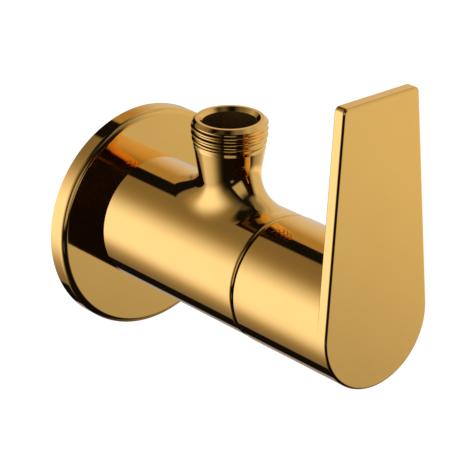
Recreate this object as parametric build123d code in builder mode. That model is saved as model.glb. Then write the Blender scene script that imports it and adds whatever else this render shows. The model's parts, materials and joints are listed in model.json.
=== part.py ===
"""Quarter-turn angle stop valve with a wall flange, a threaded upward outlet and a lever handle.

Frame, in millimetres: the origin is on the inlet axis in the plane of the wall. +Y goes into the wall, -Y comes
out to the user, +Z is up, along the outlet. Names that end in _D are distances out from the wall, so y = -d.
"""

import os
from math import acos, atan2, cos, hypot, pi, radians, sin, tan

from build123d import *

os.makedirs("parts", exist_ok=True)

# ---- driving dimensions ------------------------------------------------------------------------------------------

# pipe thread G 1/2 on the inlet spigot and on the outlet, drawn as parallel ridges of the right form and pitch
THREAD_R = 10.4775
THREAD_PITCH = 1.814
THREAD_HALF_ANGLE = 27.5
SPIGOT_THREAD_DEPTH = 1.162
OUTLET_THREAD_DEPTH = 0.8

# wall flange, a spun cup
FLANGE_R = 32.0
FLANGE_DEPTH = 5.7
FLANGE_SHEET = 1.0
FLANGE_ROUND = 1.7
FLANGE_HOLE_R = 10.8

# valve body
BODY_R = 17.8
BODY_END_D = 60.2
BODY_END_ROUND = 1.2
SPIGOT_LENGTH = 14.0
SPIGOT_RIDGES = 8
SPIGOT_LEAD = 1.05
SHANK_R = 10.2
INLET_BORE_R = 6.0

# outlet neck, a cone that grows up to its thread and runs into the barrel in a wide blend
OUTLET_D = 39.0
OUTLET_TOP = 40.1
OUTLET_RIDGES = 4
OUTLET_LEAD = 1.15
OUTLET_MOUTH_R = 7.5
OUTLET_MOUTH_DEPTH = 9.1
OUTLET_MOUTH_LEAD = 1.15
OUTLET_MOUTH_LEAD_R = 8.35
NECK_TOP = 32.0
NECK_TOP_R = 9.83
NECK_TAPER = 9.6
NECK_BLEND = 9.9
NECK_BORE_R = 6.0

# O-ring that keeps the flange on the spigot
FLANGE_RING_WIRE_R = 1.35
FLANGE_RING_D = 2.8

# valve chamber, from the seat outwards
SEAT_D = 27.0
TAIL_POCKET_D = 30.0
TAIL_POCKET_R = 9.1
CHAMBER_R = 12.5
CHAMBER_END_D = 46.0
HEADWORK_BORE_R = 10.35
COLLAR_SEAT_D = 55.5
GUIDE_POCKET_R = 15.2

# headwork, the brass shell that carries the spindle and the ceramic discs
TAIL_R = 9.0
TAIL_START_D = 27.8
HEADWORK_THREAD_R = 10.25
HEADWORK_THREAD_END_D = 53.0
HEADWORK_GROOVE_R = 9.0
HEX_FLATS = 24.0
HEX_END_D = 61.0
HEADWORK_NECK_R = 9.2
HEADWORK_END_D = 68.5
DISC_BORE_R = 7.65
DISC_BORE_END_D = 43.5
SEAL_BORE_R = 6.06
SPINDLE_BORE_R = 4.06
SPINDLE_STEP_D = 54.6
WINDOW_START_D = 36.0
WINDOW_LENGTH = 7.0
WINDOW_WIDTH = 9.0
BODY_RING_WIRE_R = 0.65
BODY_RING_D = 54.3

# ceramic discs
DISC_R = 7.5
DISC_THICK = 3.0
DISC_GAP = 0.02
FIXED_DISC_D = 28.8
MOVING_DISC_D = FIXED_DISC_D + DISC_THICK + DISC_GAP
PORT_INNER_R = 2.4
PORT_OUTER_R = 6.0
PORT_HALF_ANGLE = 35.0
KEY_R = 8.6
KEY_WIDTH = 3.0

# spindle
SPINDLE_R = 4.0
SPINDLE_SEAL_R = 6.0
SEAL_START_D = 44.0
SEAL_END_D = 54.0
DRIVE_BAR_WIDTH = 4.4
DRIVE_SLOT_DEPTH = 1.1
RING_GROOVE_R = 4.6
RING_GROOVE_WIDTH = 1.9
REAR_RING_D = 47.0
FRONT_RING_D = 51.0
RING_WIRE_R = 0.7
FLATS_WIDTH = 6.4
SPLINE_START_D = 72.4
SPLINE_END_D = 80.4
SPLINE_TEETH = 20
SPLINE_ROOT_R = 3.6
CLIP_D = 68.6
CLIP_GROOVE = 0.8
CLIP_GROOVE_R = 3.35
CLIP_R = 5.4

# quarter-turn stop: the washer's tab runs between the ends of a raised arc on the headwork
QUARTER_TURN = 90.0
STOP_RISE = 2.6
STOP_INNER_R = 6.4
STOP_WASHER_D = 69.5
STOP_WASHER_THICK = 1.4
STOP_WASHER_R = 5.6
STOP_TAB_R = 8.8
STOP_TAB_HALF_ANGLE = 15.0
STOP_REST_ANGLE = 225.0
STOP_PLAY = 0.5

# handle, one casting of skirt and lever plate
HANDLE_R = 18.0
HANDLE_START_D = 61.2
HANDLE_EDGE = 0.25
GUIDE_BORE_R = 15.25
GUIDE_BORE_END_D = 64.5
SKIRT_BORE_R = 15.6
SKIRT_CAVITY_END_D = 91.0
PLATE_FRONT_D = 97.25
PLATE_THICK = 3.5
PLATE_TOP = 62.5
PLATE_TOP_HALF_WIDTH = 12.95
PLATE_CORNER_R = 1.6
PLATE_FRONT_ROUND = 0.7
PLATE_BACK_ROUND = 0.4
SOCKET_R = 8.05
SOCKET_END_D = 88.0
BOSS_R = 11.0
BOSS_START_D = 72.0
RIB_THICK = 2.0
RIB_START_D = 76.0

# nylon ring that steadies the skirt
GUIDE_RING_BORE_R = 14.2
GUIDE_RING_END_D = 64.0
GUIDE_LIP_R = 16.4
GUIDE_LIP = 0.7

# handle fixing
INSERT_R = 8.0
INSERT_START_D = 72.6
INSERT_END_D = 82.5
INSERT_WEB_D = 80.6
INSERT_FLAT = 7.2
CAP_SCREW_R = 1.6
CAP_SCREW_TIP_D = 73.5
CAP_SCREW_HEAD_R = 2.9
CAP_SCREW_HEAD = 2.6
CAP_SCREW_DRIVE = 2.5
GRUB_D = 77.5
GRUB_R = 2.45
GRUB_LENGTH = 7.6
GRUB_TOWER_R = 4.6
PLUG_R = 3.0
PLUG_THICK = 1.9
PLUG_SINK = 0.4

# ---- helpers -----------------------------------------------------------------------------------------------------


def turn(*points, mode=Mode.ADD):
    """Turns a closed profile of (radius, distance from the wall) points about the inlet axis."""
    with BuildSketch(Plane.XY) as profile:
        with BuildLine():
            Polyline(*[(radius, -distance) for radius, distance in points], close=True)
        make_face()
    revolve(profile.sketch, axis=Axis.Y, mode=mode)


def turn_ring(inner_r, outer_r, start_d, end_d, mode=Mode.ADD):
    """Turns a ring of rectangular section about the inlet axis."""
    turn((inner_r, start_d), (outer_r, start_d), (outer_r, end_d), (inner_r, end_d), mode=mode)


def turn_round(wire_r, centre_r, distance):
    """Turns a ring of round section about the inlet axis."""
    with BuildSketch(Plane.XY) as section:
        with Locations((centre_r, -distance)):
            Circle(wire_r)
    revolve(section.sketch, axis=Axis.Y)


def facing(distance):
    """The plane across the inlet axis at a distance from the wall, seen by the user with X right and Z up."""
    return Plane.XZ.offset(distance)


def sector(inner_r, outer_r, middle, half_angle, mode=Mode.ADD):
    """Draws a piece of a flat ring about the sketch's origin."""
    angles = [radians(middle - half_angle), radians(middle), radians(middle + half_angle)]
    inner = [(inner_r * cos(a), inner_r * sin(a)) for a in angles]
    outer = [(outer_r * cos(a), outer_r * sin(a)) for a in angles]
    with BuildLine() as outline:
        ThreePointArc(*inner)
        Line(inner[2], outer[2])
        ThreePointArc(*outer)
        Line(outer[0], inner[0])
    make_face(outline.edges(), mode=mode)


def serration(tooth_r, root_r):
    """The corners of a serrated outline, a point on each tooth and in each root."""
    corners = []
    for i in range(2 * SPLINE_TEETH):
        radius = tooth_r if i % 2 == 0 else root_r
        angle = i * pi / SPLINE_TEETH
        corners.append((radius * cos(angle), radius * sin(angle)))
    return corners


def flank(depth):
    """Length along the axis of one flank of a thread ridge."""
    return depth * tan(radians(THREAD_HALF_ANGLE))


def crest(depth):
    """Length along the axis of the flat crest of a thread ridge."""
    return THREAD_PITCH / 2 - flank(depth)


def ridges(first, count, depth):
    """(radius, position) corners of thread ridges, going down from the upper end of the first crest."""
    corners = []
    for i in range(count):
        top = first - i * THREAD_PITCH
        corners.append((THREAD_R - depth, top + flank(depth)))
        corners.append((THREAD_R, top))
        corners.append((THREAD_R, top - crest(depth)))
        corners.append((THREAD_R - depth, top - crest(depth) - flank(depth)))
    return corners[1:]


def save(part, name):
    """Labels a finished piece and writes its STEP file."""
    part.label = name
    export_step(part, f"parts/{name}.step")


# ---- valve body --------------------------------------------------------------------------------------------------

outlet_axis = Axis((0, -OUTLET_D, 0), (0, 0, 1))
spigot_ridge_top = (SPIGOT_RIDGES - 1) * THREAD_PITCH + crest(SPIGOT_THREAD_DEPTH)
spigot_ridges = ridges(spigot_ridge_top, SPIGOT_RIDGES, SPIGOT_THREAD_DEPTH)[:-1]
outlet_ridges = ridges(OUTLET_TOP - OUTLET_LEAD, OUTLET_RIDGES, OUTLET_THREAD_DEPTH)
neck_axis_r = NECK_TOP_R - NECK_TOP * tan(radians(NECK_TAPER))
flange_ring_r = SHANK_R + 0.25
flange_groove_r = flange_ring_r - FLANGE_RING_WIRE_R - 0.03
flange_groove_half = FLANGE_RING_WIRE_R + 0.15

with BuildPart() as valve_body:
    # barrel
    with BuildSketch(facing(FLANGE_DEPTH)):
        Circle(BODY_R)
    extrude(amount=BODY_END_D - FLANGE_DEPTH)
    # outlet neck with its thread
    with BuildSketch(facing(OUTLET_D)):
        with BuildLine():
            Polyline(
                (0, 0),
                (neck_axis_r, 0),
                (NECK_TOP_R, NECK_TOP),
                *reversed(outlet_ridges),
                (THREAD_R - OUTLET_LEAD, OUTLET_TOP),
                (0, OUTLET_TOP),
                close=True,
            )
        make_face()
    revolve(axis=outlet_axis)
    junction = valve_body.edges().filter_by(
        lambda e: 0.7 * BODY_R < e.center().Z < BODY_R and e.bounding_box().size.X < BODY_R
        and 0 < e.bounding_box().size.Y < BODY_R
    )
    fillet(junction, NECK_BLEND)
    fillet(valve_body.edges().group_by(Axis.Y)[0], BODY_END_ROUND)
    # inlet spigot: shank, groove for the flange's O-ring, thread
    turn(
        (0, FLANGE_DEPTH),
        (SHANK_R, FLANGE_DEPTH),
        (SHANK_R, FLANGE_RING_D + flange_groove_half),
        (flange_groove_r, FLANGE_RING_D + flange_groove_half),
        (flange_groove_r, FLANGE_RING_D - flange_groove_half),
        (SHANK_R, FLANGE_RING_D - flange_groove_half),
        (SHANK_R, 0.2),
        *[(radius, -position) for radius, position in reversed(spigot_ridges)],
        (THREAD_R - SPIGOT_LEAD, -SPIGOT_LENGTH),
        (0, -SPIGOT_LENGTH),
    )
    # waterway, seat, chamber and the bore of the headwork
    turn(
        (0, -SPIGOT_LENGTH),
        (INLET_BORE_R, -SPIGOT_LENGTH),
        (INLET_BORE_R, SEAT_D),
        (TAIL_POCKET_R, SEAT_D),
        (TAIL_POCKET_R, TAIL_POCKET_D),
        (CHAMBER_R, TAIL_POCKET_D),
        (CHAMBER_R, CHAMBER_END_D),
        (HEADWORK_BORE_R, CHAMBER_END_D),
        (HEADWORK_BORE_R, COLLAR_SEAT_D),
        (GUIDE_POCKET_R, COLLAR_SEAT_D),
        (GUIDE_POCKET_R, BODY_END_D),
        (0, BODY_END_D),
        mode=Mode.SUBTRACT,
    )
    # bore of the outlet
    with BuildSketch(facing(OUTLET_D)):
        with BuildLine():
            Polyline(
                (0, 0),
                (NECK_BORE_R, 0),
                (NECK_BORE_R, OUTLET_TOP - OUTLET_MOUTH_DEPTH),
                (OUTLET_MOUTH_R, OUTLET_TOP - OUTLET_MOUTH_DEPTH),
                (OUTLET_MOUTH_R, OUTLET_TOP - OUTLET_MOUTH_LEAD),
                (OUTLET_MOUTH_LEAD_R, OUTLET_TOP),
                (0, OUTLET_TOP),
                close=True,
            )
        make_face()
    revolve(axis=outlet_axis, mode=Mode.SUBTRACT)
save(valve_body.part, "valve_body")

# ---- wall flange and its O-ring ----------------------------------------------------------------------------------

with BuildPart() as wall_flange:
    turn_ring(0, FLANGE_R, 0, FLANGE_DEPTH)
    fillet(wall_flange.edges().group_by(Axis.Y)[0], FLANGE_ROUND)
    offset(openings=wall_flange.faces().sort_by(Axis.Y)[-1], amount=-FLANGE_SHEET)
    turn_ring(0, FLANGE_HOLE_R, 0, FLANGE_DEPTH, mode=Mode.SUBTRACT)
save(wall_flange.part, "wall_flange")

with BuildPart() as flange_ring:
    turn_round(FLANGE_RING_WIRE_R, flange_ring_r, FLANGE_RING_D)
save(flange_ring.part, "flange_ring")

# ---- headwork ----------------------------------------------------------------------------------------------------

key_end_d = FIXED_DISC_D + DISC_THICK + 0.1

with BuildPart() as headwork_body:
    turn(
        (0, TAIL_START_D),
        (TAIL_R, TAIL_START_D),
        (TAIL_R, CHAMBER_END_D + 0.6),
        (HEADWORK_THREAD_R, CHAMBER_END_D + 2),
        (HEADWORK_THREAD_R, HEADWORK_THREAD_END_D),
        (HEADWORK_GROOVE_R, HEADWORK_THREAD_END_D),
        (HEADWORK_GROOVE_R, COLLAR_SEAT_D),
        (HEADWORK_NECK_R, COLLAR_SEAT_D),
        (HEADWORK_NECK_R, HEADWORK_END_D),
        (0, HEADWORK_END_D),
    )
    with BuildSketch(facing(COLLAR_SEAT_D)):
        RegularPolygon(HEX_FLATS / 2, 6, major_radius=False)
    extrude(amount=HEX_END_D - COLLAR_SEAT_D)
    # raised arc of the stop
    with BuildSketch(facing(HEADWORK_END_D)):
        sector(STOP_INNER_R, HEADWORK_NECK_R, STOP_REST_ANGLE + QUARTER_TURN / 2 + 180,
               180 - QUARTER_TURN / 2 - STOP_TAB_HALF_ANGLE - STOP_PLAY)
    extrude(amount=STOP_RISE)
    # bores of the discs, the seals and the spindle
    turn(
        (0, TAIL_START_D),
        (DISC_BORE_R, TAIL_START_D),
        (DISC_BORE_R, DISC_BORE_END_D),
        (SEAL_BORE_R, DISC_BORE_END_D),
        (SEAL_BORE_R, SPINDLE_STEP_D),
        (SPINDLE_BORE_R, SPINDLE_STEP_D),
        (SPINDLE_BORE_R, HEADWORK_END_D),
        (0, HEADWORK_END_D),
        mode=Mode.SUBTRACT,
    )
    # windows for the water
    with BuildSketch(facing(WINDOW_START_D)):
        Rectangle(3 * TAIL_R, WINDOW_WIDTH)
        Rectangle(WINDOW_WIDTH, 3 * TAIL_R)
    extrude(amount=WINDOW_LENGTH, mode=Mode.SUBTRACT)
    # slots for the keys of the fixed disc
    with BuildSketch(facing(TAIL_START_D)):
        Rectangle(KEY_WIDTH + 0.2, 3 * TAIL_R)
    extrude(amount=key_end_d - TAIL_START_D, mode=Mode.SUBTRACT)
save(headwork_body.part, "headwork_body")

with BuildPart() as headwork_ring:
    turn_round(BODY_RING_WIRE_R, (HEADWORK_GROOVE_R + HEADWORK_BORE_R) / 2, BODY_RING_D)
save(headwork_ring.part, "headwork_ring")

with BuildPart() as seat_seal:
    turn_ring(INLET_BORE_R, DISC_R, SEAT_D, FIXED_DISC_D)
    chamfer(seat_seal.edges().group_by(Axis.Y)[-1], 0.3)
save(seat_seal.part, "seat_seal")

with BuildPart() as fixed_disc:
    with BuildSketch(facing(FIXED_DISC_D)):
        Circle(DISC_R)
        Rectangle(KEY_WIDTH, 2 * KEY_R)
        for middle in (0, 180):
            sector(PORT_INNER_R, PORT_OUTER_R, middle, PORT_HALF_ANGLE, mode=Mode.SUBTRACT)
    extrude(amount=DISC_THICK)
save(fixed_disc.part, "fixed_disc")

with BuildPart() as moving_disc:
    with BuildSketch(facing(MOVING_DISC_D)):
        Circle(DISC_R)
        for middle in (90, 270):
            sector(PORT_INNER_R, PORT_OUTER_R, middle, PORT_HALF_ANGLE, mode=Mode.SUBTRACT)
    extrude(amount=DISC_THICK)
    with BuildSketch(facing(MOVING_DISC_D + DISC_THICK - DRIVE_SLOT_DEPTH)):
        Rectangle(2 * SPINDLE_SEAL_R + 0.2, DRIVE_BAR_WIDTH + 0.2)
    extrude(amount=DRIVE_SLOT_DEPTH, mode=Mode.SUBTRACT)
save(moving_disc.part, "moving_disc")

# ---- spindle and what sits on it ---------------------------------------------------------------------------------

drive_bar_d = MOVING_DISC_D + DISC_THICK - DRIVE_SLOT_DEPTH + 0.05

with BuildPart() as spindle:
    turn(
        (0, SEAL_START_D),
        (SPINDLE_SEAL_R, SEAL_START_D),
        (SPINDLE_SEAL_R, SEAL_END_D),
        (SPINDLE_R, SEAL_END_D),
        (SPINDLE_R, SPLINE_START_D),
        (0, SPLINE_START_D),
    )
    with BuildSketch(facing(SPLINE_START_D)):
        with BuildLine():
            Polyline(*serration(SPINDLE_R, SPLINE_ROOT_R), close=True)
        make_face()
    extrude(amount=SPLINE_END_D - SPLINE_START_D)
    # bar that drives the moving disc
    with BuildSketch(facing(drive_bar_d)):
        Circle(SPINDLE_SEAL_R)
        Rectangle(3 * SPINDLE_SEAL_R, DRIVE_BAR_WIDTH, mode=Mode.INTERSECT)
    extrude(amount=SEAL_START_D - drive_bar_d)
    # grooves of the seals and of the circlip
    for ring_d in (REAR_RING_D, FRONT_RING_D):
        turn_ring(RING_GROOVE_R, SPINDLE_SEAL_R + 1, ring_d - RING_GROOVE_WIDTH / 2, ring_d + RING_GROOVE_WIDTH / 2,
                  mode=Mode.SUBTRACT)
    turn_ring(CLIP_GROOVE_R, SPINDLE_R + 1, CLIP_D, CLIP_D + CLIP_GROOVE, mode=Mode.SUBTRACT)
    # flats for the stop washer
    with BuildSketch(facing(CLIP_D + CLIP_GROOVE)):
        Circle(SPINDLE_R + 1)
        Rectangle(FLATS_WIDTH, 3 * SPINDLE_R, mode=Mode.SUBTRACT)
    extrude(amount=SPLINE_START_D - CLIP_D - CLIP_GROOVE, mode=Mode.SUBTRACT)
    # tapped hole
    with BuildSketch(facing(CAP_SCREW_TIP_D - 1)):
        Circle(CAP_SCREW_R + 0.05)
    extrude(amount=SPLINE_END_D - CAP_SCREW_TIP_D + 1, mode=Mode.SUBTRACT)
save(spindle.part, "spindle")

for ring_name, ring_d in (("spindle_ring_rear", REAR_RING_D), ("spindle_ring_front", FRONT_RING_D)):
    with BuildPart() as spindle_ring:
        turn_round(RING_WIRE_R, RING_GROOVE_R + RING_WIRE_R + 0.02, ring_d)
    save(spindle_ring.part, ring_name)

with BuildPart() as slide_washer:
    turn_ring(SPINDLE_BORE_R + 0.1, SPINDLE_SEAL_R - 0.1, SEAL_END_D + 0.02, SPINDLE_STEP_D)
save(slide_washer.part, "slide_washer")

with BuildPart() as circlip:
    with BuildSketch(facing(CLIP_D + 0.05)):
        sector(CLIP_GROOVE_R + 0.05, CLIP_R, 90, 150)
    extrude(amount=CLIP_GROOVE - 0.1)
save(circlip.part, "circlip")

with BuildPart() as stop_washer:
    with BuildSketch(facing(STOP_WASHER_D)):
        Circle(STOP_WASHER_R)
        sector(SPINDLE_R + 0.8, STOP_TAB_R, STOP_REST_ANGLE, STOP_TAB_HALF_ANGLE)
        with BuildSketch(mode=Mode.SUBTRACT):
            Circle(SPINDLE_R + 0.05)
            Rectangle(FLATS_WIDTH + 0.1, 3 * SPINDLE_R, mode=Mode.INTERSECT)
    extrude(amount=STOP_WASHER_THICK)
save(stop_washer.part, "stop_washer")

# ---- handle ------------------------------------------------------------------------------------------------------

corner_reach = hypot(PLATE_TOP_HALF_WIDTH, PLATE_TOP)
tangent_angle = atan2(PLATE_TOP, PLATE_TOP_HALF_WIDTH) - acos(HANDLE_R / corner_reach)
tangent_x, tangent_z = HANDLE_R * cos(tangent_angle), HANDLE_R * sin(tangent_angle)
grub_tip_z = -INSERT_FLAT
plug_face_z = -HANDLE_R + PLUG_SINK

with BuildPart() as handle:
    # lever plate, its lower end has the radius of the skirt
    with BuildSketch(facing(PLATE_FRONT_D - PLATE_THICK)) as plate_outline:
        with BuildLine():
            Line((-tangent_x, tangent_z), (-PLATE_TOP_HALF_WIDTH, PLATE_TOP))
            Line((-PLATE_TOP_HALF_WIDTH, PLATE_TOP), (PLATE_TOP_HALF_WIDTH, PLATE_TOP))
            Line((PLATE_TOP_HALF_WIDTH, PLATE_TOP), (tangent_x, tangent_z))
            ThreePointArc((tangent_x, tangent_z), (0, -HANDLE_R), (-tangent_x, tangent_z))
        make_face()
        fillet(plate_outline.vertices().group_by(Axis.Y)[-1], PLATE_CORNER_R)
    extrude(amount=PLATE_THICK)
    fillet(handle.edges().group_by(Axis.Y)[0], PLATE_FRONT_ROUND)
    fillet(handle.edges().group_by(Axis.Y)[-1], PLATE_BACK_ROUND)
    # skirt
    with BuildSketch(facing(HANDLE_START_D)):
        Circle(HANDLE_R)
    extrude(amount=PLATE_FRONT_D - PLATE_THICK / 2 - HANDLE_START_D)
    chamfer(handle.edges().group_by(Axis.Y)[-1], HANDLE_EDGE)
    # cavity of the skirt, with the bore that runs on the guide ring
    with BuildSketch(facing(HANDLE_START_D)):
        Circle(GUIDE_BORE_R)
    extrude(amount=GUIDE_BORE_END_D - HANDLE_START_D, mode=Mode.SUBTRACT)
    with BuildSketch(facing(GUIDE_BORE_END_D)):
        Circle(SKIRT_BORE_R)
    extrude(amount=BOSS_START_D - GUIDE_BORE_END_D, mode=Mode.SUBTRACT)
    with BuildSketch(facing(BOSS_START_D)):
        Circle(SKIRT_BORE_R)
        Circle(BOSS_R, mode=Mode.SUBTRACT)
    extrude(amount=SKIRT_CAVITY_END_D - BOSS_START_D, mode=Mode.SUBTRACT)
    # ribs between the boss and the skirt
    with BuildSketch(facing(RIB_START_D)):
        with PolarLocations((BOSS_R + SKIRT_BORE_R) / 2, 3, start_angle=-30, angular_range=360):
            Rectangle(SKIRT_BORE_R - BOSS_R + 1, RIB_THICK)
    extrude(amount=SKIRT_CAVITY_END_D - RIB_START_D)
    # tower of the grub screw
    with BuildSketch(Plane((0, -GRUB_D, -HANDLE_R + 1.5), x_dir=(1, 0, 0), z_dir=(0, 0, 1))):
        Circle(GRUB_TOWER_R)
    extrude(amount=HANDLE_R - 1.5 - SOCKET_R - 0.5)
    # socket of the insert
    with BuildSketch(facing(BOSS_START_D)):
        Circle(SOCKET_R)
    extrude(amount=SOCKET_END_D - BOSS_START_D, mode=Mode.SUBTRACT)
    # tapped hole of the grub screw and the seat of its plug
    with BuildSketch(Plane((0, -GRUB_D, -HANDLE_R - 1), x_dir=(1, 0, 0), z_dir=(0, 0, 1))):
        Circle(GRUB_R + 0.05)
    extrude(amount=HANDLE_R + 1, mode=Mode.SUBTRACT)
    with BuildSketch(Plane((0, -GRUB_D, -HANDLE_R - 1), x_dir=(1, 0, 0), z_dir=(0, 0, 1))):
        Circle(PLUG_R)
    extrude(amount=1 + PLUG_SINK + PLUG_THICK, mode=Mode.SUBTRACT)
save(handle.part, "handle")

with BuildPart() as guide_ring:
    turn(
        (GUIDE_RING_BORE_R, COLLAR_SEAT_D),
        (GUIDE_POCKET_R, COLLAR_SEAT_D),
        (GUIDE_POCKET_R, BODY_END_D),
        (GUIDE_LIP_R, BODY_END_D),
        (GUIDE_LIP_R, BODY_END_D + GUIDE_LIP),
        (GUIDE_POCKET_R, BODY_END_D + GUIDE_LIP),
        (GUIDE_POCKET_R, GUIDE_RING_END_D),
        (GUIDE_RING_BORE_R, GUIDE_RING_END_D),
    )
save(guide_ring.part, "guide_ring")

# ---- handle fixing -----------------------------------------------------------------------------------------------

with BuildPart() as handle_insert:
    with BuildSketch(facing(INSERT_START_D)):
        Circle(INSERT_R)
        with Locations((0, INSERT_R - INSERT_FLAT)):
            Rectangle(3 * INSERT_R, 2 * INSERT_R, mode=Mode.INTERSECT)
    extrude(amount=INSERT_END_D - INSERT_START_D)
    with BuildSketch(facing(INSERT_START_D)):
        with BuildLine():
            Polyline(*serration(SPINDLE_R + 0.06, SPLINE_ROOT_R + 0.06), close=True)
        make_face()
    extrude(amount=INSERT_WEB_D - INSERT_START_D, mode=Mode.SUBTRACT)
    with BuildSketch(facing(INSERT_START_D)):
        Circle(CAP_SCREW_R + 0.2)
    extrude(amount=INSERT_END_D - INSERT_START_D, mode=Mode.SUBTRACT)
save(handle_insert.part, "handle_insert")

with BuildPart() as insert_screw:
    with BuildSketch(facing(CAP_SCREW_TIP_D)):
        Circle(CAP_SCREW_R)
    extrude(amount=INSERT_END_D - CAP_SCREW_TIP_D)
    chamfer(insert_screw.edges().group_by(Axis.Y)[-1], 0.4)
    with BuildSketch(facing(INSERT_END_D)):
        Circle(CAP_SCREW_HEAD_R)
    extrude(amount=CAP_SCREW_HEAD)
    chamfer(insert_screw.edges().group_by(Axis.Y)[0], 0.3)
    with BuildSketch(facing(INSERT_END_D + CAP_SCREW_HEAD - 1.5)):
        RegularPolygon(CAP_SCREW_DRIVE / 2, 6, major_radius=False)
    extrude(amount=1.5, mode=Mode.SUBTRACT)
save(insert_screw.part, "insert_screw")

with BuildPart() as grub_screw:
    with BuildSketch(Plane((0, -GRUB_D, grub_tip_z - GRUB_LENGTH), x_dir=(1, 0, 0), z_dir=(0, 0, 1))):
        Circle(GRUB_R)
    extrude(amount=GRUB_LENGTH)
    chamfer(grub_screw.edges().group_by(Axis.Z)[-1], 1.0)
    chamfer(grub_screw.edges().group_by(Axis.Z)[0], 0.3)
    with BuildSketch(Plane((0, -GRUB_D, grub_tip_z - GRUB_LENGTH), x_dir=(1, 0, 0), z_dir=(0, 0, 1))):
        RegularPolygon(CAP_SCREW_DRIVE / 2, 6, major_radius=False)
    extrude(amount=3.0, mode=Mode.SUBTRACT)
save(grub_screw.part, "grub_screw")

with BuildPart() as grub_plug:
    with BuildSketch(Plane((0, -GRUB_D, plug_face_z), x_dir=(1, 0, 0), z_dir=(0, 0, 1))):
        Circle(PLUG_R)
    extrude(amount=PLUG_THICK)
    chamfer(grub_plug.edges().group_by(Axis.Z)[0], 0.25)
save(grub_plug.part, "grub_plug")
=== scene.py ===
"""Looks of a quarter-turn angle stop valve: three polished shells with exact normals, materials and a studio.

Lengths are in millimetres until Skin.vertex() turns them into the frame's metres. The inlet axis is Y, with the
wall at y = 0 and the valve on the side of negative y, and the outlet points up along Z.
"""

import json
from math import acos, asin, atan2, cos, hypot, pi, radians, sin, sqrt, tan

import bpy
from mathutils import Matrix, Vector


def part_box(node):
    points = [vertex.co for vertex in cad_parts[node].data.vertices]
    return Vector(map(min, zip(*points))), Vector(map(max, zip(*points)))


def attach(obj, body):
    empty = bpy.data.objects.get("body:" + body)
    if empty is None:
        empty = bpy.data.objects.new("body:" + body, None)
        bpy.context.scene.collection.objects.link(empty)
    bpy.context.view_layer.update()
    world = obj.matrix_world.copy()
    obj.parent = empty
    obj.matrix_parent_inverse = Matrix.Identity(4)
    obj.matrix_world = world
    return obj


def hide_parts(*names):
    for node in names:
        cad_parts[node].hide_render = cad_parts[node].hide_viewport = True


MM = 0.001
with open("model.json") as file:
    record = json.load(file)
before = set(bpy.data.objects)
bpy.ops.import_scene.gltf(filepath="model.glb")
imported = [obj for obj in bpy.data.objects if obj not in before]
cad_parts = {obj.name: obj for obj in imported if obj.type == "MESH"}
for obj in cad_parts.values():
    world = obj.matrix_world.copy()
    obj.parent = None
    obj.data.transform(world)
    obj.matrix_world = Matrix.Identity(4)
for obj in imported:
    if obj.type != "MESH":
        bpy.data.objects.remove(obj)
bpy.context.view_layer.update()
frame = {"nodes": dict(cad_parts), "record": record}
record = frame["record"]

# ---- sizes read from the frame -----------------------------------------------------------------------------------

mounts = {m["name"]: m for m in record["mounts"]}
body_low, body_high = [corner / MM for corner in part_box("valve_body")]
flange_low, flange_high = [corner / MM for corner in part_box("wall_flange")]
handle_low, handle_high = [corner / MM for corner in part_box("handle")]
plug_low, plug_high = [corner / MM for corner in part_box("grub_plug")]

THREAD_R = mounts["outlet_thread"]["dims"]["r_mm"]
OUTLET_Y = mounts["outlet_thread"]["pos_m"][1] / MM
BODY_R = body_high.x
BODY_FRONT = body_low.y
SPIGOT_END = body_high.y
OUTLET_TOP = body_high.z
FLANGE_R = flange_high.x
FLANGE_FRONT = flange_low.y
HANDLE_R = handle_high.x
HANDLE_BACK = handle_high.y
PLATE_FRONT = handle_low.y
PLATE_TOP = handle_high.z

# ---- sizes the frame doesn't hold, as in the CAD model unless a comment says otherwise ---------------------------

FLANGE_SHEET = 1.0
FLANGE_ROUND = 1.7
FLANGE_HOLE_R = 10.8

THREAD_PITCH = 1.814
THREAD_HALF_ANGLE = radians(27.5)
SPIGOT_THREAD_DEPTH = 1.162
SPIGOT_LEAD = 1.3  # longer than in the CAD model, so that the chamfer reaches down to the core
SPIGOT_DROP, SPIGOT_RISE = 1.1, 1.1  # visual only: how the helix starts, see thread()
SHANK_R = 10.2
OUTLET_THREAD_DEPTH = 0.8
OUTLET_LEAD = 1.15
OUTLET_DROP, OUTLET_RISE = 0.7, 5.0  # visual only
MOUTH_R = 7.5
MOUTH_LEAD = 1.15
MOUTH_LEAD_R = 8.35
MOUTH_FLOOR = 31.0
WATERWAY_R = 6.0
NECK_TOP = 32.0
NECK_TOP_R = 9.83
NECK_TAPER = radians(9.6)
NECK_BLEND = 9.9
SHARP_EDGE = 0.12

BODY_END_ROUND = 1.2
SEAT_Y = -27.0
TAIL_POCKET_Y, TAIL_POCKET_R = -30.0, 9.1
CHAMBER_Y, CHAMBER_R = -46.0, 12.5
COLLAR_SEAT_Y, HEADWORK_BORE_R = -55.5, 10.35
GUIDE_POCKET_R = 15.2
RING_GROOVE_Y, RING_GROOVE_HALF, RING_GROOVE_R = -2.8, 1.5, 9.07

HANDLE_EDGE = 0.25
PLATE_THICK = 3.5
PLATE_TOP_HALF_WIDTH = 12.95
PLATE_CORNER_R = 1.6
PLATE_FRONT_ROUND = 0.7
PLATE_BACK_ROUND, PLATE_BACK_ROUND_RISE = 0.4, 6.0
SKIRT_FILLET, SKIRT_FILLET_FADE = 0.9, 0.9  # a length, and an angle in radians
SKIRT_BORE_R = 15.25
CAVITY_END = -91.0
BOSS_R, BOSS_Y = 11.0, -72.0
SOCKET_R, SOCKET_END = 8.05, -88.0
PLUG_R = 3.0

# ---- how finely surfaces are divided -----------------------------------------------------------------------------

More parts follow.
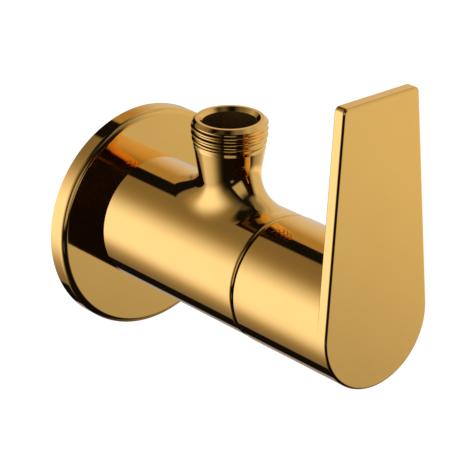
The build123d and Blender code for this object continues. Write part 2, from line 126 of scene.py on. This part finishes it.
AROUND = 80
LATHE_STEPS = 2 * AROUND
COLLAR_STEPS = 4 * AROUND
COLLAR_ROWS = 14
CHAMBER_ROWS = 6
BLEND_ROWS = 24
NECK_ROWS = 8
WATERWAY_ROWS = 8
PLUG_SEAT_ROWS = 2
FLANGE_STEPS = 320
ROWS_PER_PITCH = 26
ROUND_STEPS = 8
BACK_ROUND_STEPS = 4
FILLET_STEPS = 6
SIDE_STEPS = 30
CORNER_STEPS = 12
BALL_ROUNDS = 30

# points closer than WELD are one vertex. The shift keeps round values away from the borders of the cells
WELD, CELL_SHIFT = 0.000713, 0.37

# ---- surfaces ----------------------------------------------------------------------------------------------------


class Skin:
    """A surface put together from patches of (point, normal) rows. Shared edges are welded, normals stay exact."""

    # BORE takes the brass material, which is darkened as painted shade inside the bores
    OUTSIDE, BORE = 0, 1  # material indices

    def __init__(self):
        self.index = {}
        self.points = []
        self.faces = []
        self.normals = []
        self.finish = self.OUTSIDE
        self.finishes = []

    def vertex(self, point):
        key = tuple(round(c / WELD + CELL_SHIFT) for c in point)
        if key not in self.index:
            self.index[key] = len(self.points)
            self.points.append([c * MM for c in point])
        return self.index[key]

    def face(self, corners):
        """Adds a polygon, facing the way its corner normals do. Corners that fall together are dropped."""
        kept = []
        for point, normal in corners:
            vertex = self.vertex(point)
            if vertex not in [k[0] for k in kept]:
                kept.append((vertex, normal))
        if len(kept) < 3:
            return
        points = [Vector(self.points[k[0]]) for k in kept]
        across = Vector((0, 0, 0))
        for a, b in zip(points, points[1:] + points[:1]):
            across += (a - points[0]).cross(b - points[0])
        outward = sum((Vector(k[1]) for k in kept), Vector((0, 0, 0)))
        if across.dot(outward) < 0:
            kept.reverse()
        self.faces.append([k[0] for k in kept])
        self.finishes.append(self.finish)
        self.normals.extend(k[1] for k in kept)

    def patch(self, rows):
        for low, high in zip(rows, rows[1:]):
            for i in range(len(low) - 1):
                self.face([low[i], low[i + 1], high[i + 1], high[i]])

    def make(self, name):
        mesh = bpy.data.meshes.new(name)
        mesh.from_pydata(self.points, [], self.faces)
        mesh.polygons.foreach_set("use_smooth", [True] * len(mesh.polygons))
        mesh.polygons.foreach_set("material_index", self.finishes)
        mesh.normals_split_custom_set([tuple(n) for n in self.normals])
        made = bpy.data.objects.new(name, mesh)
        bpy.context.scene.collection.objects.link(made)
        return made


def contour(*corners):
    """Runs of a turned profile through corners of (radius, position[, round]), as samples of radius, position and
    the two parts of the normal. The outside is on the right hand."""
    corners = [(*c, 0.0) if len(c) == 2 else c for c in corners]
    runs = []
    start = corners[0][:2]
    for before, corner, after in zip(corners, corners[1:], corners[2:] + [corners[-1]]):
        ahead = atan2(corner[1] - before[1], corner[0] - before[0])
        turn = 0.0
        if after is not corner:
            turn = atan2(after[1] - corner[1], after[0] - corner[0]) - ahead
            turn = (turn + pi) % (2 * pi) - pi
        setback = corner[2] * tan(abs(turn) / 2)
        end = (corner[0] - setback * cos(ahead), corner[1] - setback * sin(ahead))
        normal = (sin(ahead), -cos(ahead))
        if hypot(end[0] - start[0], end[1] - start[1]) > WELD:
            runs.append([(*start, *normal), (*end, *normal)])
        start = end
        if setback > 0:
            size = corner[2] if turn > 0 else -corner[2]
            centre = (end[0] - size * normal[0], end[1] - size * normal[1])
            run = []
            for angle in even(ROUND_STEPS, ahead, ahead + turn):
                across, along = sin(angle), -cos(angle)
                run.append((centre[0] + size * across, centre[1] + size * along, across, along))
            runs.append(run)
            start = run[-1][:2]
    return runs


def about_inlet(r, s, nr, ns, angle):
    return (r * cos(angle), s, r * sin(angle)), (nr * cos(angle), ns, nr * sin(angle))


def about_outlet(r, s, nr, ns, angle):
    point = (r * sin(angle), OUTLET_Y + r * cos(angle), s)
    return point, (nr * sin(angle), nr * cos(angle), ns)


def spin(skin, about, angles, *corners):
    """Turns a profile through the angles, about the inlet or about the outlet."""
    for run in contour(*corners):
        skin.patch([[about(*sample, angle) for angle in angles] for sample in run])


def even(steps, first=0.0, last=2 * pi):
    return [first + (last - first) * i / steps for i in range(steps + 1)]


def barrel_point(radius, y, roll, up=1, outward=1):
    """A point of a cylinder about the inlet axis. roll is measured from the top, or from the bottom if up is -1."""
    point = (radius * sin(roll), y, up * radius * cos(roll))
    return point, (outward * sin(roll), 0, outward * up * cos(roll))


def collar(skin, radius, ring, back, front, steps, up=1, outward=1, half=pi / 2):
    """The part of a cylinder about the inlet axis between a ring of (y, roll) points and the border made by back,
    front and the rolls -half and half. The ring starts towards the back, and turns towards growing roll."""
    per_side = len(ring) // 4
    border = []
    for k in range(len(ring)):
        turned = (k + per_side / 2) % len(ring)
        side, along = int(turned // per_side), (turned % per_side) / per_side
        border.append([
            (back, -half + 2 * half * along),
            (back + (front - back) * along, half),
            (front, half - 2 * half * along),
            (front + (back - front) * along, -half),
        ][side])
    rows = []
    for j in range(steps + 1):
        t = j / steps
        row = [
            barrel_point(radius, a[0] + (b[0] - a[0]) * t, a[1] + (b[1] - a[1]) * t, up, outward)
            for a, b in zip(ring, border)
        ]
        rows.append(row + row[:1])
    skin.patch(rows)


def thread_height(phase, depth):
    """Height over the core of a rounded thread form with a crest at phase 0, and its slope over the phase."""
    sharp = THREAD_PITCH / 2 / tan(THREAD_HALF_ANGLE)
    size = (sharp - depth) / 2 / (1 / sin(THREAD_HALF_ANGLE) - 1)
    from_crest = (phase + 0.5) % 1 - 0.5
    z = abs(from_crest) * THREAD_PITCH
    tangent_z = size * cos(THREAD_HALF_ANGLE)
    if z <= tangent_z:
        height = depth - size + sqrt(size**2 - z * z)
        slope = -z / sqrt(size**2 - z * z)
    elif z >= THREAD_PITCH / 2 - tangent_z:
        below = THREAD_PITCH / 2 - z
        height = size - sqrt(size**2 - below * below)
        slope = -below / sqrt(size**2 - below * below)
    else:
        slope = -1 / tan(THREAD_HALF_ANGLE)
        height = depth - size * (1 - sin(THREAD_HALF_ANGLE)) + slope * (z - tangent_z)
    return height, slope * THREAD_PITCH * (1 if from_crest >= 0 else -1)


def smooth_step(t):
    """Value and slope of a soft ramp from 0 to 1."""
    t = min(max(t, 0.0), 1.0)
    return t * t * (3 - 2 * t), 6 * t * (1 - t)


def thread(skin, about, low, high, depth, lead, foot_r, drop, rise, steps):
    """A right-hand helical thread up to a chamfered lead that ends short of high. From low on, its core falls from
    foot_r within drop, and its height grows within rise."""
    core = THREAD_R - depth
    top = high - SHARP_EDGE
    rows = []
    for v in range(int((high - low) / THREAD_PITCH + 3) * ROWS_PER_PITCH):
        row = []
        for angle in even(steps):
            z = low + THREAD_PITCH * (v / ROWS_PER_PITCH - 1 + angle / (2 * pi))
            z = min(max(z, low), top)
            height, slope = thread_height((z - high) / THREAD_PITCH - angle / (2 * pi), depth)
            fall, fall_slope = smooth_step((z - low) / drop)
            left = 1 - min((z - low) / rise, 1.0)
            growth = 1 - left**2
            radius = foot_r + (core - foot_r) * fall + height * growth
            by_z = (core - foot_r) * fall_slope / drop + slope / THREAD_PITCH * growth + height * 2 * left / rise
            by_angle = -slope / (2 * pi) * growth
            cone = THREAD_R - lead + (high - z)
            if radius > cone:
                radius, by_z, by_angle = cone, -1.0, 0.0
            length = sqrt(1 + by_z**2 + (by_angle / radius) ** 2)
            point, outward = about(radius, z, 1 / length, -by_z / length, angle)
            _, onward = about(0, 0, 1, 0, angle + pi / 2)
            normal = tuple(o - t * by_angle / radius / length for o, t in zip(outward, onward))
            row.append((point, normal))
        rows.append(row)
    skin.patch(rows)


# ---- wall flange -------------------------------------------------------------------------------------------------

skin = Skin()
spin(
    skin, about_inlet, even(FLANGE_STEPS),
    (FLANGE_HOLE_R, FLANGE_FRONT),
    (FLANGE_R, FLANGE_FRONT, FLANGE_ROUND),
    (FLANGE_R, flange_high.y, SHARP_EDGE),
    (FLANGE_R - FLANGE_SHEET, flange_high.y, SHARP_EDGE),
    (FLANGE_R - FLANGE_SHEET, FLANGE_FRONT + FLANGE_SHEET, FLANGE_ROUND - FLANGE_SHEET),
    (FLANGE_HOLE_R, FLANGE_FRONT + FLANGE_SHEET),
    (FLANGE_HOLE_R, FLANGE_FRONT),
)
flange = skin.make("flange_shell")
# in the photograph the highlight of the barrel runs unbroken up to the flange
flange.visible_glossy = False
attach(flange, "valve")
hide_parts("wall_flange")

# ---- valve body --------------------------------------------------------------------------------------------------

skin = Skin()
turns = even(COLLAR_STEPS)[:-1]
closed = even(COLLAR_STEPS)
lathe = [pi / 2 - roll for roll in even(LATHE_STEPS, -pi / 2, 3 * pi / 2)]
barrel_front = BODY_FRONT + BODY_END_ROUND


def neck_radius(z):
    return NECK_TOP_R - (NECK_TOP - z) * tan(NECK_TAPER)


def ball(angle):
    """Centre of the ball that rolls in the corner between the conical neck and the barrel."""
    z = BODY_R + NECK_BLEND
    for _ in range(BALL_ROUNDS):
        reach = neck_radius(z) + NECK_BLEND / cos(NECK_TAPER)
        z = sqrt((BODY_R + NECK_BLEND) ** 2 - (reach * sin(angle)) ** 2)
    return reach * sin(angle), OUTLET_Y + reach * cos(angle), z


def bottom_half(radius, back, front, outward=1):
    rows = []
    for y in even(AROUND, back, front):
        rows.append([barrel_point(radius, y, roll, 1, outward) for roll in even(AROUND, pi / 2, 3 * pi / 2)])
    skin.patch(rows)


# barrel
foot = [(ball(a)[1], atan2(ball(a)[0], ball(a)[2])) for a in turns]
collar(skin, BODY_R, foot, FLANGE_FRONT, barrel_front, COLLAR_ROWS)
bottom_half(BODY_R, FLANGE_FRONT, barrel_front)

# blend between barrel and neck
rows = []
for t in even(BLEND_ROWS, 0.0, 1.0):
    row = []
    for a in closed:
        x, y, z = ball(a)
        to_neck = Vector((-sin(a) * cos(NECK_TAPER), -cos(a) * cos(NECK_TAPER), sin(NECK_TAPER)))
        to_barrel = Vector((-x, 0, -z)).normalized()
        opening = acos(max(-1.0, min(1.0, to_neck.dot(to_barrel))))
        towards = (to_neck * sin((1 - t) * opening) + to_barrel * sin(t * opening)) / sin(opening)
        row.append((tuple(Vector((x, y, z)) + towards * NECK_BLEND), tuple(-towards)))
    rows.append(row)
skin.patch(rows)

# neck
rows = []
for t in even(NECK_ROWS, 0.0, 1.0):
    row = []
    for a in closed:
        neck_foot = ball(a)[2] + NECK_BLEND * sin(NECK_TAPER)
        z = neck_foot + (NECK_TOP - neck_foot) * t
        row.append(about_outlet(neck_radius(z), z, cos(NECK_TAPER), -sin(NECK_TAPER), a))
    rows.append(row)
skin.patch(rows)

# outlet: thread, top face, mouth and waterway down to the chamber
thread(
    skin, about_outlet, NECK_TOP, OUTLET_TOP, OUTLET_THREAD_DEPTH, OUTLET_LEAD, NECK_TOP_R,
    OUTLET_DROP, OUTLET_RISE, COLLAR_STEPS,
)
spin(
    skin, about_outlet, closed,
    (THREAD_R - OUTLET_LEAD + SHARP_EDGE, OUTLET_TOP - SHARP_EDGE),
    (THREAD_R - OUTLET_LEAD, OUTLET_TOP, SHARP_EDGE),
    (MOUTH_LEAD_R, OUTLET_TOP, SHARP_EDGE),
    (MOUTH_R, OUTLET_TOP - MOUTH_LEAD),
)
skin.finish = Skin.BORE
spin(
    skin, about_outlet, closed,
    (MOUTH_R, OUTLET_TOP - MOUTH_LEAD),
    (MOUTH_R, MOUTH_FLOOR),
    (WATERWAY_R, MOUTH_FLOOR),
)
hole = [(OUTLET_Y + WATERWAY_R * cos(a), asin(WATERWAY_R * sin(a) / CHAMBER_R)) for a in turns]
rows = []
for j in range(WATERWAY_ROWS + 1):
    row = []
    for a in closed:
        low = sqrt(CHAMBER_R**2 - (WATERWAY_R * sin(a)) ** 2)
        row.append(about_outlet(WATERWAY_R, MOUTH_FLOOR + (low - MOUTH_FLOOR) * j / WATERWAY_ROWS, -1, 0, a))
    rows.append(row)
skin.patch(rows)
collar(skin, CHAMBER_R, hole, TAIL_POCKET_Y, CHAMBER_Y, CHAMBER_ROWS, outward=-1)
bottom_half(CHAMBER_R, TAIL_POCKET_Y, CHAMBER_Y, outward=-1)

# bores on both sides of the chamber
spin(
    skin, about_inlet, lathe,
    (WATERWAY_R, SPIGOT_END),
    (WATERWAY_R, SEAT_Y),
    (TAIL_POCKET_R, SEAT_Y),
    (TAIL_POCKET_R, TAIL_POCKET_Y),
    (CHAMBER_R, TAIL_POCKET_Y),
)
spin(
    skin, about_inlet, lathe,
    (CHAMBER_R, CHAMBER_Y),
    (HEADWORK_BORE_R, CHAMBER_Y),
    (HEADWORK_BORE_R, COLLAR_SEAT_Y),
    (GUIDE_POCKET_R, COLLAR_SEAT_Y),
    (GUIDE_POCKET_R, BODY_FRONT),
)

# front end, then the back of the barrel with the spigot
skin.finish = Skin.OUTSIDE
spin(
    skin, about_inlet, lathe,
    (GUIDE_POCKET_R, BODY_FRONT),
    (BODY_R, BODY_FRONT, BODY_END_ROUND),
    (BODY_R, barrel_front),
)
spin(
    skin, about_inlet, lathe,
    (BODY_R, FLANGE_FRONT),
    (SHANK_R, FLANGE_FRONT),
    (SHANK_R, RING_GROOVE_Y - RING_GROOVE_HALF),
    (RING_GROOVE_R, RING_GROOVE_Y - RING_GROOVE_HALF),
    (RING_GROOVE_R, RING_GROOVE_Y + RING_GROOVE_HALF),
    (SHANK_R, RING_GROOVE_Y + RING_GROOVE_HALF),
    (SHANK_R, 0.0),
)
thread(
    skin, about_inlet, 0.0, SPIGOT_END, SPIGOT_THREAD_DEPTH, SPIGOT_LEAD, SHANK_R,
    SPIGOT_DROP, SPIGOT_RISE, LATHE_STEPS,
)
spin(
    skin, about_inlet, lathe,
    (THREAD_R - SPIGOT_LEAD + SHARP_EDGE, SPIGOT_END - SHARP_EDGE),
    (THREAD_R - SPIGOT_LEAD, SPIGOT_END, SHARP_EDGE),
    (WATERWAY_R, SPIGOT_END),
)
body = skin.make("body_shell")
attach(body, "valve")
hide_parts("valve_body")

# ---- handle ------------------------------------------------------------------------------------------------------

skin = Skin()
plate_back = PLATE_FRONT + PLATE_THICK
reach = hypot(PLATE_TOP_HALF_WIDTH, PLATE_TOP)
lean = atan2(PLATE_TOP, PLATE_TOP_HALF_WIDTH) - acos(HANDLE_R / reach)
lower_half = pi / 2 + lean
skirt_back = HANDLE_BACK - HANDLE_EDGE
upper_rolls = even(AROUND, -(pi / 2 - lean), pi / 2 - lean)
lower_rolls = even(AROUND, -lower_half, lower_half)

# outline of the plate as (x, z, angle of the normal), from the right-hand tangent point over the top
corner_z = PLATE_TOP - PLATE_CORNER_R
corner_x = (HANDLE_R - PLATE_CORNER_R - corner_z * sin(lean)) / cos(lean)
side_start = (HANDLE_R * cos(lean), HANDLE_R * sin(lean))
outline = []
for i in range(SIDE_STEPS):
    t = i / SIDE_STEPS
    x = side_start[0] + (corner_x + PLATE_CORNER_R * cos(lean) - side_start[0]) * t
    z = side_start[1] + (corner_z + PLATE_CORNER_R * sin(lean) - side_start[1]) * t
    outline.append((x, z, lean))
for angle in even(CORNER_STEPS, lean, pi / 2):
    outline.append((corner_x + PLATE_CORNER_R * cos(angle), corner_z + PLATE_CORNER_R * sin(angle), angle))
outline += [(-x, z, pi - angle) for x, z, angle in reversed(outline)]
lower = [(HANDLE_R * sin(roll), -HANDLE_R * cos(roll), roll - pi / 2) for roll in lower_rolls]
upper_edge = outline + [(-side_start[0], side_start[1], pi - lean)]
rim = upper_edge + lower[1:]


def inset(sample, depth, y, tilt):
    """A point of the plate's edge, moved in by depth, with a normal tilted from the side towards +Y."""
    x, z, angle = sample
    point = (x - depth * cos(angle), y, z - depth * sin(angle))
    return point, (cos(angle) * cos(tilt), sin(tilt), sin(angle) * cos(tilt))


def back_round(sample):
    """Radius of the plate's back edge. It grows from nothing where the skirt runs into the plate."""
    if sample[1] < side_start[1] - WELD:
        return 0.0
    return PLATE_BACK_ROUND * smooth_step((sample[1] - side_start[1]) / PLATE_BACK_ROUND_RISE)[0]


rows = []
for j in range(BACK_ROUND_STEPS + 1):
    tilt = pi / 2 * (1 - j / BACK_ROUND_STEPS)
    rows.append([
        inset(s, back_round(s) * (1 - cos(tilt)), plate_back - back_round(s) * (1 - sin(tilt)), tilt) for s in rim
    ])
skin.patch(rows)
front_start = PLATE_FRONT + PLATE_FRONT_ROUND
skin.patch([
    [inset(s, 0.0, plate_back - back_round(s), 0.0) for s in rim],
    [inset(s, 0.0, front_start, 0.0) for s in rim],
])
rows = []
for j in range(ROUND_STEPS + 1):
    tilt = pi / 2 * j / ROUND_STEPS
    depth = PLATE_FRONT_ROUND * (1 - cos(tilt))
    rows.append([inset(s, depth, front_start - PLATE_FRONT_ROUND * sin(tilt), -tilt) for s in rim])
skin.patch(rows)
skin.face([(inset(s, PLATE_FRONT_ROUND, PLATE_FRONT, 0)[0], (0, -1, 0)) for s in rim[:-1]])

# skirt: the lower part carries the plug's hole, the upper part ends in a fillet at the plate's back
plug_y = (plug_low.y + plug_high.y) / 2
hole = [(plug_y + PLUG_R * cos(a), asin(PLUG_R * sin(a) / HANDLE_R)) for a in turns]
collar(skin, HANDLE_R, hole, skirt_back, plate_back, COLLAR_ROWS, up=-1, half=lower_half)
rows = []
for j in range(PLUG_SEAT_ROWS + 1):
    row = []
    for a in closed:
        skin_z = -sqrt(HANDLE_R**2 - (PLUG_R * sin(a)) ** 2)
        z = skin_z + (plug_high.z - skin_z) * j / PLUG_SEAT_ROWS
        row.append(((PLUG_R * sin(a), plug_y + PLUG_R * cos(a), z), (-sin(a), -cos(a), 0)))
    rows.append(row)
skin.patch(rows)
skin.face([((PLUG_R * sin(a), plug_y + PLUG_R * cos(a), plug_high.z), (0, 0, -1)) for a in turns])


def skirt_fillet(roll):
    """Radius of the inner corner between skirt and plate. It fades where the two surfaces run together."""
    return SKIRT_FILLET * smooth_step((pi / 2 - lean - abs(roll)) / SKIRT_FILLET_FADE)[0]


rows = []
for t in even(AROUND, 0.0, 1.0):
    row = []
    for roll in upper_rolls:
        end = plate_back + skirt_fillet(roll)
        row.append(barrel_point(HANDLE_R, skirt_back + (end - skirt_back) * t, roll))
    rows.append(row)
skin.patch(rows)
rows = []
for j in range(FILLET_STEPS + 1):
    tilt = pi / 2 * j / FILLET_STEPS
    row = []
    for roll in upper_rolls:
        size = skirt_fillet(roll)
        point, _ = barrel_point(HANDLE_R + size * (1 - cos(tilt)), plate_back + size * (1 - sin(tilt)), roll)
        row.append((point, (cos(tilt) * sin(roll), sin(tilt), cos(tilt) * cos(roll))))
    rows.append(row)
skin.patch(rows)
plate_line = [inset(s, back_round(s), plate_back, 0)[0] for s in upper_edge]
arch = [barrel_point(HANDLE_R + skirt_fillet(roll), plate_back, roll)[0] for roll in upper_rolls]
skin.face([(p, (0, 1, 0)) for p in plate_line + arch[1:-1]])

# back end of the skirt and the inside
skirt_angles = [pi / 2 - roll for roll in upper_rolls]
skirt_angles += [-pi / 2 + roll for roll in lower_rolls[::-1]][1:]
spin(
    skin, about_inlet, skirt_angles,
    (HANDLE_R, skirt_back),
    (HANDLE_R, HANDLE_BACK, HANDLE_EDGE),
    (SKIRT_BORE_R, HANDLE_BACK, HANDLE_EDGE),
    (SKIRT_BORE_R, HANDLE_BACK - HANDLE_EDGE),
)
skin.finish = Skin.BORE
spin(
    skin, about_inlet, skirt_angles,
    (SKIRT_BORE_R, HANDLE_BACK - HANDLE_EDGE),
    (SKIRT_BORE_R, CAVITY_END),
    (BOSS_R, CAVITY_END),
    (BOSS_R, BOSS_Y),
    (SOCKET_R, BOSS_Y),
    (SOCKET_R, SOCKET_END),
    (0.0, SOCKET_END),
)
handle = skin.make("handle_shell")
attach(handle, "lever")
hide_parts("handle")

# ---- materials ---------------------------------------------------------------------------------------------------

NOISE = (0.3, 0.7)


class Graph:
    """Short calls that add nodes to a node tree and link them."""

    def __init__(self, tree):
        self.tree = tree

    def node(self, kind, inputs, **settings):
        made = self.tree.nodes.new("ShaderNode" + kind)
        for name, value in settings.items():
            setattr(made, name, value)
        for socket, value in inputs.items():
            if isinstance(value, bpy.types.NodeSocket):
                self.tree.links.new(value, made.inputs[socket])
            else:
                made.inputs[socket].default_value = value
        return made

    def math(self, operation, *values):
        return self.node("Math", dict(enumerate(values)), operation=operation).outputs[0]

    def spread(self, value, low, high):
        """Carries the range in which noise varies to a range from low to high."""
        span = {"Value": value, "From Min": NOISE[0], "From Max": NOISE[1], "To Min": low, "To Max": high}
        return self.node("MapRange", span).outputs["Result"]

    def soft(self, value, none, full):
        """A smooth step from 0 at none to 1 at full."""
        step = {"Value": value, "From Min": none, "From Max": full}
        return self.node("MapRange", step, interpolation_type="SMOOTHSTEP").outputs["Result"]


def grain(g, scale, detail, stretch=(1.0, 1.0, 1.0)):
    """Noise over the object from 0 to 1, with scale features a metre. Stretched along an axis, it turns into fine
    lines across that axis."""
    place = g.node("TexCoord", {}).outputs["Object"]
    place = g.node("VectorMath", {0: place, 1: stretch}, operation="MULTIPLY").outputs[0]
    return g.node("TexNoise", {"Vector": place, "Scale": scale, "Detail": detail}).outputs["Fac"]


def material(name, dark, light, metallic, smooth, rough, tone, wear, relief, height, **sockets):
    """A finish between two colours by the grain tone and two roughnesses by the grain wear, with the grain relief
    as bumps of height metres."""
    made = bpy.data.materials.new(name)
    made.use_nodes = True
    shader = made.node_tree.nodes["Principled BSDF"]
    g = Graph(made.node_tree)
    # sockets 0, 6 and 7 are the factor and the two colours, and output 2 the mixed colour
    tint = g.node("Mix", {0: grain(g, *tone), 6: (*dark, 1.0), 7: (*light, 1.0)}, data_type="RGBA")
    g.tree.links.new(tint.outputs[2], shader.inputs["Base Color"])
    g.tree.links.new(g.spread(grain(g, *wear), smooth, rough), shader.inputs["Roughness"])
    bump = g.node("Bump", {"Height": grain(g, *relief), "Distance": height, "Strength": 1.0})
    g.tree.links.new(bump.outputs[0], shader.inputs["Normal"])
    shader.inputs["Metallic"].default_value = metallic
    for socket, value in sockets.items():
        shader.inputs[socket.replace("_", " ")].default_value = value
    return made


TURNED = (1.0, 30.0, 30.0)  # draws the grain out along X, across the axis of the turned pieces
slot_materials = {
    # mirror-polished PVD coat: faint cloudiness, wipe marks and orange peel
    "gold": material(
        "gold", (0.93, 0.545, 0.140), (0.96, 0.585, 0.165), 1.0, 0.025, 0.06, (90.0, 3.0), (160.0, 4.0),
        (420.0, 2.0), 0.000002,
    ),
    # brass with the marks of the tool, darkened as painted shade for the insides of the bores and the parts within
    # them
    "brass": material(
        "brass", (0.30, 0.19, 0.07), (0.50, 0.34, 0.13), 1.0, 0.22, 0.42, (60.0, 3.0), (220.0, 3.0, TURNED),
        (120.0, 2.0, TURNED), 0.00002,
    ),
    "steel": material(
        "steel", (0.46, 0.46, 0.47), (0.62, 0.62, 0.63), 1.0, 0.18, 0.36, (140.0, 3.0), (90.0, 4.0, TURNED),
        (130.0, 2.0, TURNED), 0.00001,
    ),
    "rubber": material(
        "rubber", (0.012, 0.012, 0.013), (0.028, 0.028, 0.030), 0.0, 0.42, 0.68, (300.0, 3.0), (500.0, 4.0),
        (2200.0, 3.0), 0.00002,
    ),
    "ceramic": material(
        "ceramic", (0.78, 0.76, 0.70), (0.90, 0.89, 0.85), 0.0, 0.08, 0.20, (400.0, 4.0), (260.0, 3.0),
        (1500.0, 3.0), 0.000003,
    ),
    "ptfe": material(
        "ptfe", (0.78, 0.78, 0.76), (0.88, 0.88, 0.87), 0.0, 0.34, 0.52, (120.0, 3.0), (200.0, 3.0, TURNED),
        (150.0, 3.0, TURNED), 0.00002,
    ),
    "nylon": material(
        "nylon", (0.010, 0.010, 0.010), (0.022, 0.022, 0.023), 0.0, 0.30, 0.48, (200.0, 3.0), (350.0, 3.0),
        (1400.0, 4.0), 0.00001,
    ),
    "plug": material(
        "plug", (0.46, 0.29, 0.09), (0.58, 0.38, 0.13), 0.3, 0.26, 0.44, (180.0, 3.0), (320.0, 3.0),
        (1200.0, 4.0), 0.00001,
    ),
}
for slot in ("body_gold", "flange_gold", "handle_gold"):
    slot_materials[slot] = slot_materials["gold"]
for piece in (flange, body, handle):
    piece.data.materials.append(slot_materials["gold"])  # index Skin.OUTSIDE
    piece.data.materials.append(slot_materials["brass"])  # index Skin.BORE
node_slots = {s["node"]: s["material_slot"] for s in record["subparts"]}
for name, node in frame["nodes"].items():
    node.material_slots[0].material = slot_materials[node_slots[name]]

# ---- studio ------------------------------------------------------------------------------------------------------

scene = bpy.context.scene
scene.view_settings.view_transform = "Standard"

# Soft boxes as the metal mirrors them: the range of azimuths and the range of elevations, each as (dark, full, full,
# dark) in degrees, then the brightness and the colour. Azimuth is 0 towards -Y and 90 towards +X.
FIRST_AZIMUTH = -60.0
SOFT_BOXES = [
    # right-hand box, the low bounce under it, a warm strip at its far end and the ceiling over it
    ((8, 46, 130, 150), (-38, -20, 26, 80), 0.70, (1.0, 1.0, 1.0)),
    ((38, 60, 154, 158), (-85, -34, -24, -14), 0.34, (1.0, 0.95, 0.95)),
    ((128, 148, 160, 163), (-20, 10, 44, 60), 0.42, (1.0, 0.70, 0.30)),
    ((-45, 0, 120, 158), (42, 56, 100, 101), 0.22, (1.0, 0.95, 0.9)),
    # dim side wall
    ((250, 270, 284, 299), (-20, 0, 60, 80), 0.05, (1.0, 0.95, 0.9)),
]
# Boxes that only first reflections see
FIRST_ONLY = [
    # left-hand box: a warm rim with sharp edges, its warm body and its cool core. The flange, which the metal doesn't
    # mirror here, would stand between it and the surfaces that see it by way of the barrel
    ((182, 186, 236, 300), (-62, -48, 46, 56), 0.22, (1.0, 0.85, 0.6)),
    ((186, 218, 250, 290), (-64, -24, 6, 48), 0.42, (1.0, 0.93, 0.8)),
    ((203, 221, 240, 282), (-54, -16, 4, 38), 0.62, (0.85, 1.12, 2.0)),
    # cards that light the lever plate and the barrel in other views. In later reflections they would brighten the
    # flange's mirror image of the barrel, which is black in the photograph
    ((-14, -8, 8, 14), (-12, -6, 2, 10), 0.42, (1.0, 1.0, 1.0)),
    ((-53, -47, -44, -38), (-31, -26, -24, -19), 0.22, (1.0, 1.0, 1.0)),
    ((-59, -54, -26, -16), (-14, -6, 14, 44), 0.50, (1.0, 0.95, 0.9)),
]
AMBIENT = 0.006
PLAIN_WHITE = 1.15  # what the camera and diffuse surfaces see instead of the boxes
FIRST_REFLECTION = 2.5  # the world counts a ray depth of 2 at a first reflection, and more at later ones

world = bpy.data.worlds.new("studio")
scene.world = world
world.use_nodes = True
world.node_tree.nodes.clear()
g = Graph(world.node_tree)
direction = g.node("SeparateXYZ", {0: g.node("TexCoord", {}).outputs["Generated"]}).outputs
around = g.math("ARCTAN2", direction["X"], g.math("MULTIPLY", direction["Y"], -1.0))
azimuth = g.math("WRAP", g.math("DEGREES", around), FIRST_AZIMUTH + 360, FIRST_AZIMUTH)
elevation = g.math("DEGREES", g.math("ARCSINE", direction["Z"]))
path = g.node("LightPath", {}).outputs
first = g.math("LESS_THAN", path["Ray Depth"], FIRST_REFLECTION)
total = (AMBIENT,) * 3
for boxes, seen in ((SOFT_BOXES, 1.0), (FIRST_ONLY, first)):
    for azimuths, elevations, brightness, colour in boxes:
        lit = g.math("MULTIPLY", seen, brightness)
        for angle, (none, full, still, gone) in ((azimuth, azimuths), (elevation, elevations)):
            lit = g.math("MULTIPLY", lit, g.soft(angle, none, full))
            lit = g.math("MULTIPLY", lit, g.soft(angle, gone, still))
        glow = g.node("VectorMath", {0: colour, "Scale": lit}, operation="SCALE").outputs[0]
        total = g.node("VectorMath", {0: total, 1: glow}, operation="ADD").outputs[0]
mirrored = g.node("Background", {"Color": total}).outputs[0]
plain = g.node("Background", {"Color": (1, 1, 1, 1), "Strength": PLAIN_WHITE}).outputs[0]
mixed = g.node("MixShader", {0: path["Is Glossy Ray"], 1: plain, 2: mirrored}).outputs[0]
g.node("OutputWorld", {"Surface": mixed})

# floor in metres, well below the valve, which the metal doesn't mirror
FLOOR_HALF, FLOOR_Z = 6.0, -0.3
floor_mesh = bpy.data.meshes.new("floor")
floor_corners = [(x * FLOOR_HALF, y * FLOOR_HALF, FLOOR_Z) for x, y in ((-1, -1), (1, -1), (1, 1), (-1, 1))]
floor_mesh.from_pydata(floor_corners, [], [(0, 1, 2, 3)])
floor = bpy.data.objects.new("floor", floor_mesh)
scene.collection.objects.link(floor)
floor_mesh.materials.append(material(
    "floor", (0.95, 0.95, 0.95), (0.97, 0.97, 0.97), 0.0, 0.8, 0.9, (2.0, 2.0), (8.0, 2.0), (60.0, 2.0), 0.0002,
    Specular_IOR_Level=0.0,
))
floor.visible_glossy = False

# ---- camera, as solved from the photograph's outline -------------------------------------------------------------

CAMERA_AZIMUTH = radians(-40.71)
CAMERA_ELEVATION = radians(24.08)
CAMERA_DISTANCE = 681.0
CAMERA_TARGET = Vector((0.74, -41.12, 5.56))

camera_data = bpy.data.cameras.new("camera")
camera_data.sensor_width = 36.0
camera_data.lens = 189.65
camera_data.clip_start, camera_data.clip_end = 0.05, 20.0
camera = bpy.data.objects.new("camera", camera_data)
scene.collection.objects.link(camera)
away = Vector((
    sin(CAMERA_AZIMUTH) * cos(CAMERA_ELEVATION),
    -cos(CAMERA_AZIMUTH) * cos(CAMERA_ELEVATION),
    sin(CAMERA_ELEVATION),
))
camera.location = (CAMERA_TARGET + away * CAMERA_DISTANCE) * MM
camera.rotation_mode = "QUATERNION"
camera.rotation_quaternion = (-away).to_track_quat("-Z", "Y")
scene.camera = camera
